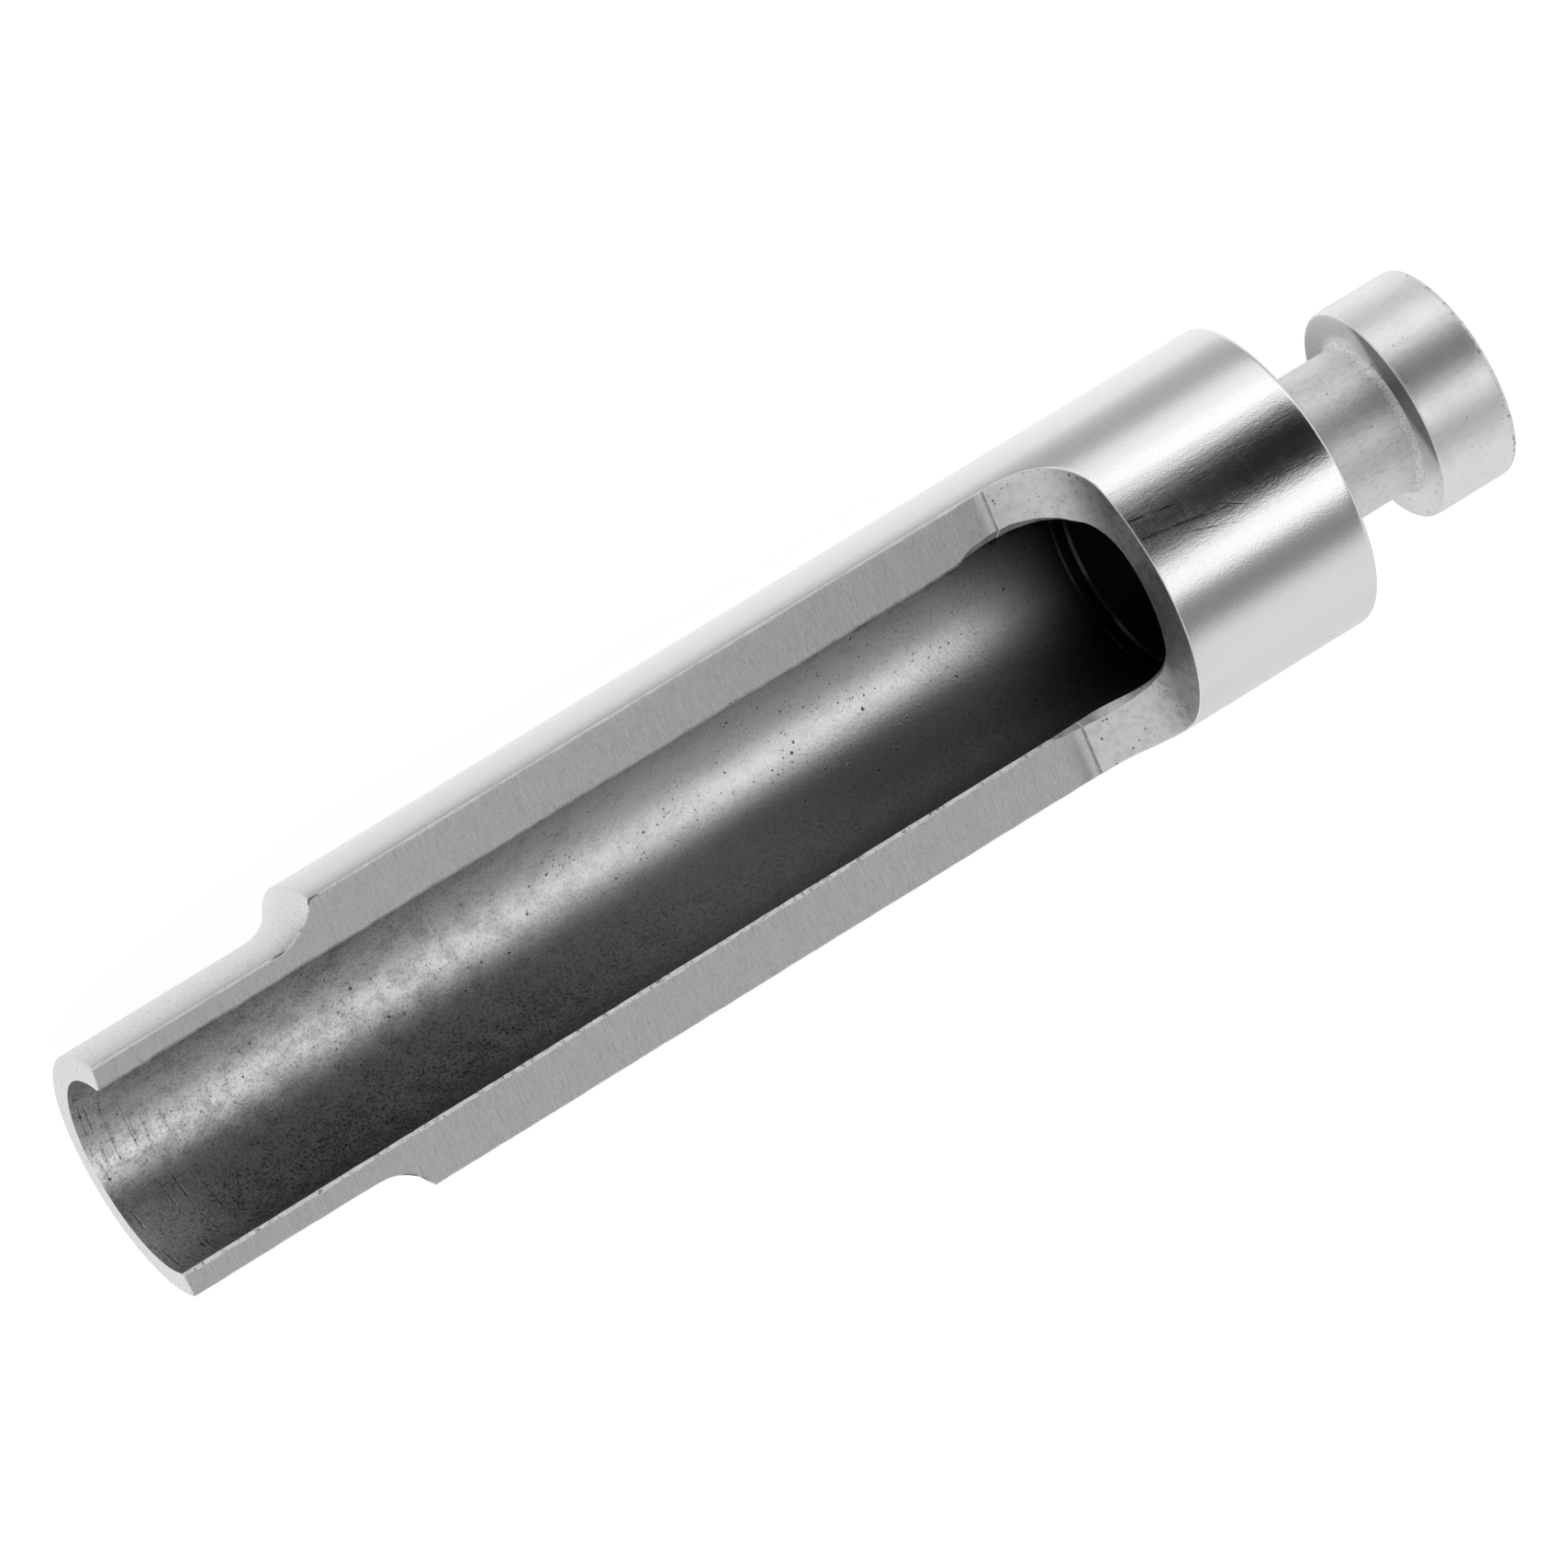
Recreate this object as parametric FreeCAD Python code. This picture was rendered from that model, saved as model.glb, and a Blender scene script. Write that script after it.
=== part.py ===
"""Hollow nibbler punch, one piece of hardened tool steel.

The blank is turned: hook head, neck, guide shank, concave step and slimmer
cutting nose. It is bored from the nose, then milled and ground open along one
side, just above its axis, so that chips leave through the open trough.

Frame, in millimetres: the origin is the centre of the head's end face, +X runs
along the punch towards the cutting nose, and +Z leaves the open side. The punch
lies on its round back.
"""
import FreeCAD, Part
import math
import os

# Head and neck, which the ram's slot takes hold of
head_length = 4.1
neck_length = 5.3
neck_diameter = 7.2
hook_height = 1.6            # radial height of the head above the neck
head_edge_break = 0.3
neck_root_radius = 0.5

# Guide shank and open trough
body_diameter = 15.0
shoulder_edge_break = 0.3
guide_length = 9.8           # full round stretch, from the shoulder to the window's end wall
trough_length = 39.5         # from the window's end wall to the corner of the nose step
cut_height = 1.2             # ground flats above the axis
runout_radius = 3.4          # cutter radius where the window rises to its end wall
ground_step = 0.05           # depth that the grinding takes off the milled flats
ground_stop = 0.4            # milled flat that the grinding leaves before the run-out
lip_bevel = 0.25             # broken edge along the inside of the flats

# Cutting nose
nose_length = 12.0           # from the corner of the step to the cutting face
step_height = 1.5            # radial drop from the body to the nose
step_radius = 2.6            # concave radius of the step
nose_edge_break = 0.12

# Bore
nose_wall = 1.2              # wall between the bore and the nose's outside
bore_past_window = 1.3       # straight bore hidden behind the window's end wall
bore_end_break = 0.2         # narrow cone where the reamed wall meets the drilled end
drill_point_angle = 118.0    # whole angle of the drilled end

# Room left round the blank by the tools that cut it
tool_overrun = 5.0

# Radii that follow from the sizes above
body_radius = body_diameter / 2
neck_radius = neck_diameter / 2
head_radius = neck_radius + hook_height
nose_radius = body_radius - step_height
bore_radius = nose_radius - nose_wall

# Stations along +X that follow from the lengths above
shoulder_x = head_length + neck_length
window_wall_x = shoulder_x + guide_length
runout_x = window_wall_x + runout_radius
ground_end_x = runout_x + ground_stop
step_corner_x = window_wall_x + trough_length
step_run = math.sqrt(step_radius ** 2 - (step_radius - step_height) ** 2)
step_foot_x = step_corner_x + step_run
nose_tip_x = step_corner_x + nose_length


def point(x, radial):
    """A point of a turned profile: station along the punch, distance from its axis."""
    return FreeCAD.Vector(x, 0, radial)


def chain(start, *moves):
    """Edges from a start point: a move is an end point, or a middle and an end for an arc."""
    edges = []
    here = start
    for move in moves:
        if isinstance(move, tuple):
            middle, end = move
            edges.append(Part.Arc(here, middle, end).toShape())
        else:
            end = move
            edges.append(Part.LineSegment(here, end).toShape())
        here = end
    return Part.Wire(edges)


def turned(profile):
    """Solid swept once round the punch's axis by a closed profile, with its seam underneath."""
    origin = FreeCAD.Vector(0, 0, 0)
    axis = FreeCAD.Vector(1, 0, 0)
    face = Part.Face(profile)
    face.rotate(origin, axis, 180)
    return face.revolve(origin, axis, 360)


def quarter(centre_x, centre_radial, radius, degrees):
    """The point of a circle at an angle counted from +X towards larger radii."""
    angle = math.radians(degrees)
    return point(centre_x + radius * math.cos(angle), centre_radial + radius * math.sin(angle))


def turned_blank():
    """Head, neck, guide shank, concave step and nose, turned from one bar."""
    root = neck_root_radius
    root_radial = neck_radius + root
    step_centre_radial = nose_radius + step_radius
    start_angle = math.degrees(math.asin((body_radius - step_centre_radial) / step_radius))
    half_way_angle = (180 - start_angle + 270) / 2
    return turned(chain(
        point(0, 0),
        point(0, head_radius - head_edge_break),
        point(head_edge_break, head_radius),
        point(head_length - head_edge_break, head_radius),
        point(head_length, head_radius - head_edge_break),
        point(head_length, root_radial),
        (quarter(head_length + root, root_radial, root, 225), point(head_length + root, neck_radius)),
        point(shoulder_x - root, neck_radius),
        (quarter(shoulder_x - root, root_radial, root, 315), point(shoulder_x, root_radial)),
        point(shoulder_x, body_radius - shoulder_edge_break),
        point(shoulder_x + shoulder_edge_break, body_radius),
        point(step_corner_x, body_radius),
        (quarter(step_foot_x, step_centre_radial, step_radius, half_way_angle),
         point(step_foot_x, nose_radius)),
        point(nose_tip_x - nose_edge_break, nose_radius),
        point(nose_tip_x, nose_radius - nose_edge_break),
        point(nose_tip_x, 0),
        point(0, 0),
    ))


def bore_tool():
    """Space of the reamed bore and its drilled end, open through the nose."""
    end_x = window_wall_x - bore_past_window
    drill_radius = bore_radius - bore_end_break
    point_depth = drill_radius / math.tan(math.radians(drill_point_angle / 2))
    return turned(chain(
        point(end_x - bore_end_break - point_depth, 0),
        point(end_x - bore_end_break, drill_radius),
        point(end_x, bore_radius),
        point(nose_tip_x + tool_overrun, bore_radius),
        point(nose_tip_x + tool_overrun, 0),
        point(end_x - bore_end_break - point_depth, 0),
    ))


def window_tool():
    """Space above the trough: ground flats, small step, round run-out and end wall."""
    milled_height = cut_height + ground_step
    runout_centre = milled_height + runout_radius
    top = body_radius + tool_overrun
    tip = nose_tip_x + tool_overrun
    outline = chain(
        point(tip, cut_height),
        point(ground_end_x, cut_height),
        point(ground_end_x, milled_height),
        point(runout_x, milled_height),
        (quarter(runout_x, runout_centre, runout_radius, 225), point(window_wall_x, runout_centre)),
        point(window_wall_x, top),
        point(tip, top),
        point(tip, cut_height),
    )
    face = Part.Face(outline)
    face.translate(FreeCAD.Vector(0, -top, 0))
    return face.extrude(FreeCAD.Vector(0, 2 * top, 0))


def lip_tool():
    """Space of the bevels along both inner edges of the ground flats."""
    low = cut_height - lip_bevel
    top = cut_height + tool_overrun
    flat_y = math.sqrt(bore_radius ** 2 - cut_height ** 2) + lip_bevel
    wall_y = math.sqrt(bore_radius ** 2 - low ** 2)
    right_side = [(wall_y, low), (flat_y, cut_height), (flat_y, top)]
    left_side = [(-y, z) for y, z in reversed(right_side)]
    corners = [FreeCAD.Vector(ground_end_x, y, z) for y, z in right_side + left_side]
    face = Part.Face(Part.makePolygon(corners + corners[:1]))
    return face.extrude(FreeCAD.Vector(nose_tip_x + tool_overrun - ground_end_x, 0, 0))


def build_punch():
    """The finished punch as one solid."""
    solid = turned_blank()
    for tool in (bore_tool(), window_tool(), lip_tool()):
        solid = solid.cut(tool)
    return solid


punch = build_punch()
os.makedirs("parts", exist_ok=True)
punch.exportStep("parts/punch.step")
print("punch:", len(punch.Solids), "solid,", round(punch.Volume, 1), "cubic mm, valid:", punch.isValid())
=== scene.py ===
# %% [markdown]
# # A hollow nibbler punch in bare steel
#
# The real object is one piece of hardened tool steel. It is turned, bored from
# the nose, milled open along one side and then ground. Every finish comes from one
# of those steps, so this lesson builds the form first and then gives each surface
# the marks that its own step leaves.

import bpy
import bmesh
import numpy as np
from mathutils import Matrix, Vector


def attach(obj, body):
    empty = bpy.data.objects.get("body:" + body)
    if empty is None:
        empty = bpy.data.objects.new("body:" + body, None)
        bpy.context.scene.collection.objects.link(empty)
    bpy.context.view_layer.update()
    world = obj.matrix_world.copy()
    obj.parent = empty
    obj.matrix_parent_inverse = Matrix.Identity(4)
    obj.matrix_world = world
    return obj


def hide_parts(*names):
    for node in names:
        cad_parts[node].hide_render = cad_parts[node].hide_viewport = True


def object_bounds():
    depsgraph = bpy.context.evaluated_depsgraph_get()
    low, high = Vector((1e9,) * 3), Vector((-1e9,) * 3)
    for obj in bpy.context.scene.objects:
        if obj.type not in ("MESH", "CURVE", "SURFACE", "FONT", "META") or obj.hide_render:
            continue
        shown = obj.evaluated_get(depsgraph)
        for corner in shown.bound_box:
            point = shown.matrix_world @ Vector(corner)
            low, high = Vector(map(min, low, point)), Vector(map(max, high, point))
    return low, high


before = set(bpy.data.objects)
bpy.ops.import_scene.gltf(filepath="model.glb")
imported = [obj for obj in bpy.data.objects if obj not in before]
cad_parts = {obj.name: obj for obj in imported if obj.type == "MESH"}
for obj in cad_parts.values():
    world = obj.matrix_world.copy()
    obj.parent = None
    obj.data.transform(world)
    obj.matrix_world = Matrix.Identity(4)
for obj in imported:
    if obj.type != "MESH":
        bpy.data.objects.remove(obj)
scene = bpy.context.scene
cad_low, cad_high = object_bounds()
rng = np.random.default_rng(7)
MM = 0.001
print("CAD box in mm:", [round(v / MM, 2) for v in (*cad_low, *cad_high)])

# %% [markdown]
# ## Sizes
#
# All lengths are in millimetres. The overall length and the body radius come from
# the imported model. The others repeat the sizes that the turned, bored and milled
# forms have there, so that the detailed skin lies on the same solid.

# %% Sizes of the punch
body_radius = -cad_low.z / MM
nose_tip_x = cad_high.x / MM
head_length = 4.1
head_radius = 5.2
head_edge_break = 0.3
head_face_break = 0.12
neck_radius = 3.6
neck_root_radius = 0.5
shoulder_x = 9.4
shoulder_edge_break = 0.3
window_wall_x = 19.2
cut_height = 1.2
ground_step = 0.05
ground_stop = 0.4
runout_radius = 3.4
step_corner_x = 58.7
step_radius = 2.6
nose_radius = 6.0
nose_edge_round = 0.12
bore_radius = 4.8
bore_end_x = 17.9
bore_end_break = 0.2
drill_depth = 2.76
print("punch", round(nose_tip_x, 2), "long, radius", round(body_radius, 2))

# %% [markdown]
# ## The path of the milling cutter
#
# Seen from the side, the open side is one line: ground flat, a hair's step up to
# the flat that the cutter left, the cutter's own radius, and the upright end wall.
# A line with known lengths can be walked by distance, so each station is one
# number, and shifting a point along the line is adding to that number.

# %% The cut profile as a function of distance
milled_height = cut_height + ground_step
runout_x = window_wall_x + runout_radius
runout_top = milled_height + runout_radius
ground_end_x = runout_x + ground_stop
flat_length = nose_tip_x - ground_end_x
step_length = 0.05
arc_start = flat_length + step_length + ground_stop
arc_length = runout_radius * np.pi / 2
wall_start = arc_start + arc_length
wall_end = wall_start + body_radius - runout_top


def cut_profile(s):
    """Station and height on the cut, a distance s from the nose tip.

    Along the flats the station falls by s. On the run-out the point turns
    through s over the cutter radius, and on the end wall only the height grows.
    """
    s = np.clip(s, 0, None)
    turn = np.clip((s - arc_start) / runout_radius, 0, np.pi / 2)
    x = np.where(s < arc_start, nose_tip_x - s, runout_x - runout_radius * np.sin(turn))
    x = np.where((s > flat_length) & (s < arc_start),
                 ground_end_x - (s - flat_length) * ground_stop / (ground_stop + step_length), x)
    ramp = np.clip((s - flat_length) / step_length, 0, 1)
    z = cut_height + ground_step * ramp + runout_radius * (1 - np.cos(turn))
    z = z + np.clip(s - wall_start, 0, None)
    return x, z


def outer_radius(x):
    """Turned outside radius: body, then the concave step as a circle, then the nose."""
    centre_radius = nose_radius + step_radius
    run = np.sqrt(step_radius ** 2 - (centre_radius - body_radius) ** 2)
    foot = step_corner_x + run
    along = np.clip(foot - x, 0, step_radius)
    step = centre_radius - np.sqrt(step_radius ** 2 - along ** 2)
    return np.where(x >= foot, nose_radius, np.where(x <= step_corner_x, body_radius, step))


print("cut profile is", round(float(wall_end), 2), "mm long")

# %% [markdown]
# ## Wear is noise with a size
#
# A deburred or handled edge is never the same width all along. Smooth noise with a
# known wavelength, added to the width of an edge, gives that. It is a sum of a few
# sine waves with random phases, so it needs no table and always comes out the same.

# %% Smooth noise along a line


def wander(t, wavelengths, heights):
    """Sum of sine waves: each has a wavelength, a height and a random phase."""
    total = np.zeros_like(t, dtype=float)
    for wavelength, height in zip(wavelengths, heights):
        phase, bend = rng.uniform(0, 2 * np.pi, 2)
        total += height * np.sin(2 * np.pi * t / wavelength + phase + 0.8 * np.sin(t / wavelength + bend))
    return total


# %% [markdown]
# ## Stations along the punch
#
# The grid is dense where the form turns: at the nose edge, along the concave step,
# round the run-out, and where the end wall crosses the bore.

# %% Choose the stations
step_foot_x = step_corner_x + np.sqrt(step_radius ** 2 - (nose_radius + step_radius - body_radius) ** 2)
nose_stations = nose_edge_round * (1 - np.cos(np.linspace(0, np.pi / 2, 5)))
s_foot, s_corner = nose_tip_x - step_foot_x, nose_tip_x - step_corner_x
bore_meets_wall = np.arccos(runout_top / bore_radius)
wall_by_bore = wall_start + bore_radius * np.cos(np.linspace(bore_meets_wall, 0, 7)) - runout_top
inner_bevel_wall = 0.22
outer_break = 0.06
wall_above = np.linspace(np.arcsin((bore_radius + inner_bevel_wall + 0.12) / body_radius), np.pi / 2, 22)
stations = np.concatenate([
    nose_stations,
    np.linspace(0.3, s_foot, 32)[:-1],
    np.linspace(s_foot, s_corner - 0.06, 14)[:-1],
    s_corner + np.array([-0.06, -0.02, 0.02, 0.06]),
    np.linspace(s_corner + 0.3, flat_length - 0.1, 130)[:-1],
    flat_length + np.array([-0.1, -0.03, 0, step_length, step_length + 0.05]),
    np.linspace(flat_length + 0.2, arc_start, 3),
    np.linspace(arc_start, wall_start, 30)[1:],
    wall_by_bore[1:],
    wall_start + body_radius * np.sin(wall_above) - runout_top,
])
count_tube = int(np.searchsorted(stations, wall_start + 1e-6))
count_bore = count_tube + len(wall_by_bore) - 1
print(len(stations), "stations,", count_tube, "of them on the open tube")

# %% [markdown]
# ## Two edges, each with a width on either side
#
# An edge is where two surfaces meet. To break it, both surfaces stop a little
# short of it, and a narrow strip joins them. On each surface, short of the edge
# means square to the edge's own direction, so the width stays right where the edge
# swings from the flats up round the end wall.

# %% Edge curves and the strips that break them
slope_blend = 0.4


def unit_pair(a, b):
    """Two numbers scaled so that their squares add up to one."""
    length = np.maximum(np.hypot(a, b), 1e-9)
    return a / length, b / length


def edge_points(radius_of, width, side, towards_centre, tip_ease):
    """Three curves of a broken edge, each as x, y, z along the stations.

    radius_of gives the round surface's radius at a station. The first curve lies
    on the round surface, the second is the sharp edge, and the third lies on the
    cut. side is +1 or -1 in y. towards_centre is +1 where the cut reaches in from
    the edge, and -1 where it reaches out. tip_ease lowers the cut at the nose tip.
    """
    x, z = cut_profile(stations)
    radius = radius_of(x)
    half_width = np.sqrt(np.clip(radius ** 2 - z ** 2, 0, None))
    angle = np.arctan2(half_width, -z)
    tangent_x, tangent_round = unit_pair(np.gradient(x, stations), radius * np.gradient(angle, stations))
    past = z >= radius - 1e-9
    on_flats = stations < arc_start
    tangent_x = np.where(past, 0.0, np.where(on_flats, -1.0, tangent_x))
    tangent_round = np.where(past, 1.0, np.where(on_flats, 0.0, tangent_round))
    level = np.where(on_flats, cut_height, z)
    slope = np.gradient(np.sqrt(np.clip(radius ** 2 - level ** 2, 0, None)), stations)
    slope_after = slope[np.searchsorted(stations, arc_start + slope_blend)]
    blended = np.interp(stations, [arc_start - slope_blend, arc_start + slope_blend], [0.0, slope_after])
    slope = np.where(np.abs(stations - arc_start) < slope_blend, blended, slope)
    shift_s, shift_y = unit_pair(slope, -np.ones_like(slope))
    on_wall = stations > wall_start
    shift_s = np.where(on_wall, -z / np.hypot(z, half_width), shift_s)
    shift_y = np.where(on_wall, -half_width / np.hypot(z, half_width), shift_y)
    tangent_x = np.where(on_wall, 0.0, tangent_x)
    tangent_round = np.where(on_wall, 1.0, tangent_round)
    round_x = x - width * tangent_round
    round_angle = angle + width * tangent_x / radius
    round_radius = radius_of(round_x)
    first = np.stack([round_x, side * round_radius * np.sin(round_angle),
                      -round_radius * np.cos(round_angle)], -1)
    second = np.stack([x, side * half_width, z], -1)
    cut_x, cut_z = cut_profile(stations + towards_centre * width * shift_s)
    third = np.stack([cut_x, side * (half_width + towards_centre * width * shift_y), cut_z], -1)
    for curve in (second, third):
        curve[:, 2] -= tip_ease
    return first, second, third


def bore_wall_radius(x):
    """The reamed bore has one radius all along."""
    return np.full_like(x, bore_radius)


# %% [markdown]
# ## The open tube as one closed loop, carried along the stations
#
# A slice of the trough is a C: outside arc, broken edge, ground lip, bevelled
# inside edge, bore arc, and back. Each slice has the same number of points in the
# same order, so all slices together are one grid whose rows close on themselves.
# The end wall continues the two lips only, up to the top of the shank. Where the
# run-out starts, both inner bevels were widened by hand, so they get wider there.

# %% Work out the loop
arc_count = 89
lip_count = 9
break_steps = np.array([0.25, 0.5, 0.75])
tip_gap = np.clip(nose_edge_round - stations, 0, None)
tip_round = nose_edge_round - np.sqrt(nose_edge_round ** 2 - tip_gap ** 2)
run_mask = np.clip((stations - arc_start) / arc_length, 0, 1)
past_start = stations - arc_start
by_hand = np.exp(-((past_start - 0.9) / 1.7) ** 2)
far_wedge = np.interp(past_start, (-2.9, -2.1, -0.9, 0.1, 1.1, 2.6), (0.0, 0.30, 0.42, 0.38, 0.20, 0.0))
inner_widths = {
    -1: (0.30 - 0.10 * run_mask + far_wedge
         + (1 - 2.0 * far_wedge) * wander(stations, (7.0, 2.3, 1.1), (0.022, 0.016, 0.014))),
    +1: (0.17 + 0.20 * by_hand
         + (1 - 0.8 * by_hand) * wander(stations, (6.0, 2.1, 0.9), (0.016, 0.015, 0.015))),
}
settle_length = 2.5
settle = np.clip((wall_start - stations) / settle_length, 0, 1)
for side in inner_widths:
    inner_widths[side] = inner_bevel_wall + (inner_widths[side] - inner_bevel_wall) * settle
outer_widths = {side: outer_break + wander(stations, (9.0, 2.6, 1.3), (0.012, 0.010, 0.008)) * settle
                for side in (-1, 1)}


def worn_outer_radius(x):
    """Turned outside radius with the nose's outer edge rounded as a quarter circle."""
    gap = np.clip(nose_edge_round - (nose_tip_x - x), 0, nose_edge_round)
    return outer_radius(x) - (nose_edge_round - np.sqrt(nose_edge_round ** 2 - gap ** 2))


outer_edge = {side: edge_points(worn_outer_radius, outer_widths[side], side, 1, 0.5 * tip_round)
              for side in (-1, 1)}
inner_edge = {side: edge_points(bore_wall_radius, inner_widths[side], side, -1, 0.5 * tip_round)
              for side in (-1, 1)}


def between(a, b, shares):
    """Points on the straight lines from a to b, at the given shares of the way."""
    return a[:, None] + (b - a)[:, None] * np.asarray(shares)[None, :, None]


def bent(a, corner, b, shares):
    """Points on the curve that leaves a towards a corner and arrives at b from it."""
    t = np.asarray(shares)[None, :, None]
    return (1 - t) ** 2 * a[:, None] + 2 * t * (1 - t) * corner[:, None] + t ** 2 * b[:, None]


def arc(radius_of, start, end, count):
    """Points round the underside at each station, from one edge point to another."""
    first = np.arctan2(start[:, 1], -start[:, 2])
    last = np.arctan2(end[:, 1], -end[:, 2])
    shares = np.linspace(0, 1, count)
    angle = first[:, None] + (last - first)[:, None] * shares
    x = start[:, 0][:, None] + (end[:, 0] - start[:, 0])[:, None] * shares
    radius = radius_of(x)
    return np.stack([x, radius * np.sin(angle), -radius * np.cos(angle)], -1)


def strip(side):
    """Broken outer edge, lip and inner bevel of one side, from outside to inside.

    Past the bore's top the two lips meet in the middle of the end wall.
    """
    outer_round, outer_sharp, outer_cut = outer_edge[side]
    inner_round, _, inner_cut = (curve.copy() for curve in inner_edge[side])
    above = np.arange(len(stations)) >= count_bore
    middle_z = np.linspace(bore_radius + inner_bevel_wall, body_radius - outer_break, above.sum() + 1)[1:]
    for curve in (inner_round, inner_cut):
        curve[above] = np.stack([np.full(above.sum(), window_wall_x), np.zeros(above.sum()), middle_z], -1)
    edge = bent(outer_round, outer_sharp, outer_cut, break_steps)
    lip = between(outer_cut, inner_cut, np.linspace(0, 1, lip_count))
    bevel = between(inner_cut, inner_round, break_steps)
    return np.concatenate([outer_round[:, None], edge, lip, bevel, inner_round[:, None]], 1)


right_strip = strip(+1)
left_strip = strip(-1)
outer_arc = arc(worn_outer_radius, left_strip[:, 0], right_strip[:, 0], arc_count)
inner_arc = arc(bore_wall_radius, right_strip[:, -1], left_strip[:, -1], arc_count)
loop = [outer_arc, right_strip[:, 1:], inner_arc[:, 1:], left_strip[:, ::-1][:, 1:-1]]
tube = np.concatenate(loop, 1)[:count_tube]
print("tube grid", tube.shape)

# %% [markdown]
# ## From grids to one mesh
#
# Each grid knows which finish its columns have. The grids share their border
# points exactly, so merging doubles at the end closes the skin. The finishes are
# the mesh's material slots, in this order.

# %% Collect grids
FINISHES = ["ground_shank", "ground_flat", "milled_runout", "broken_edge", "reamed_bore",
            "nose_face", "turned_head", "faced_head", "turned_neck"]
all_points, all_faces, all_slots = [], [], []


def add_grid(points, finish, closed=False, flip=False):
    """Adds a grid of quads. finish is one name, or one name for each column of faces."""
    rows, columns = points.shape[:2]
    offset = sum(len(p) for p in all_points)
    number = np.arange(rows * columns).reshape(rows, columns) + offset
    if closed:
        number = np.concatenate([number, number[:, :1]], 1)
    a, b, c, d = number[:-1, :-1], number[:-1, 1:], number[1:, 1:], number[1:, :-1]
    quads = np.stack([a, b, c, d] if flip else [d, c, b, a], -1)
    names = [finish] * quads.shape[1] if isinstance(finish, str) else finish
    slots = np.broadcast_to([FINISHES.index(name) for name in names], quads.shape[:2])
    all_points.append(points.reshape(-1, 3))
    all_faces.append(quads.reshape(-1, 4))
    all_slots.append(slots.reshape(-1))


edge_finish = ["broken_edge"] * (len(break_steps) + 1)
strip_finish = edge_finish + ["ground_flat"] * (lip_count - 1) + edge_finish
milled_finish = [name.replace("ground_flat", "milled_runout") for name in strip_finish]
loop_finish = (["ground_shank"] * (arc_count - 1) + strip_finish
               + ["reamed_bore"] * (arc_count - 1) + strip_finish[::-1])
milled_loop = [name.replace("ground_flat", "milled_runout") for name in loop_finish]
ground_rows = int(np.searchsorted(stations, flat_length + 1e-6))
add_grid(tube[:ground_rows], loop_finish, closed=True)
add_grid(tube[ground_rows - 1:], milled_loop, closed=True)
wall_rows = slice(count_tube - 1, None)
add_grid(right_strip[wall_rows], milled_finish)
add_grid(left_strip[wall_rows], milled_finish, flip=True)
print(len(all_faces), "grids,", sum(len(faces) for faces in all_faces), "faces")

# %% [markdown]
# ## The cutting face of the nose
#
# The end face is the plane ring between the outside arc and the bore arc. Lines
# from each outside point to the bore point beside it fill it, and near its two
# ends the lines bend to meet the points of the lips.

# %% Close the nose
cap_outer = outer_arc[0]
cap_inner = inner_arc[0][::-1]
cap_shares = np.linspace(0, 1, right_strip.shape[1])
cap = cap_outer[None] + (cap_inner - cap_outer)[None] * cap_shares[:, None, None]
fade_columns = 5
fade = np.clip(1 - np.arange(arc_count) / fade_columns, 0, 1)[None, :, None]
left_gap = (left_strip[0] - cap[:, 0])[:, None]
right_gap = (right_strip[0] - cap[:, -1])[:, None]
cap = cap + left_gap * fade + right_gap * fade[:, ::-1]
add_grid(cap, "nose_face")
print("nose face", cap.shape)

# %% [markdown]
# ## Shank, neck and head
#
# These are turned, so a profile of stations and radii is carried round the axis.
# The first ring isn't round: it is the border that the open tube and the end wall
# leave, and each later ring keeps the angles of its points.

# %% Carry turned profiles round the axis


def border(strip_column, arc_points):
    """Closed border at the end wall: up one side's wall, and back round the underside."""
    left = left_strip[count_tube - 1:, strip_column]
    right = right_strip[count_tube - 1:, strip_column]
    return np.concatenate([arc_points, right[1:], left[1:-1][::-1]])


def turned_rings(ring, profile):
    """Rings from a border through the stations and radii of a profile."""
    angle = np.arctan2(ring[:, 1], -ring[:, 2])
    rings = [ring]
    for x, radius in profile:
        rings.append(np.stack([np.full(len(ring), x), radius * np.sin(angle), -radius * np.cos(angle)], -1))
    return np.stack(rings)


def corner(x, radius, from_degrees, to_degrees, size, steps=5):
    """Stations and radii on a quarter circle round a point of the profile."""
    turn = np.radians(np.linspace(from_degrees, to_degrees, steps))
    return [(x + size * np.cos(t), radius + size * np.sin(t)) for t in turn]


shank_border = border(0, outer_arc[count_tube - 1])
soft = shoulder_edge_break
root = neck_root_radius
shank_profile = [(x, body_radius) for x in np.linspace(window_wall_x - 0.5, shoulder_x + soft, 20)]
shoulder_profile = corner(shoulder_x + soft, body_radius - soft, 90, 180, soft, 6)
shoulder_profile += [(shoulder_x, r) for r in np.linspace(body_radius - soft - 0.2, neck_radius + root, 8)]
neck_profile = corner(shoulder_x - root, neck_radius + root, 0, -90, root, 6)
neck_profile += [(x, neck_radius) for x in np.linspace(shoulder_x - root, head_length + root, 16)[1:-1]]
neck_profile += corner(head_length + root, neck_radius + root, -90, -180, root, 6)
brk = head_edge_break
head_face = [(head_length, r) for r in np.linspace(neck_radius + root, head_radius - head_face_break, 6)]
head_corner = [(head_length - brk * (1 - np.cos(t)), head_radius - head_face_break * (1 - np.sin(t)))
               for t in np.linspace(0, np.pi / 2, 6)[1:]]
head_rim = [(x, head_radius) for x in np.linspace(head_length - brk, brk, 14)[1:-1]]
head_edge = corner(brk, head_radius - brk, 90, 180, brk, 6)
head_end = [(0.0, r) for r in np.linspace(head_radius - brk - 0.2, 0.0, 12)]
head_profile = head_face + head_corner + head_rim + head_edge + head_end
rings = turned_rings(shank_border, shank_profile + shoulder_profile + neck_profile + head_profile)

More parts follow.
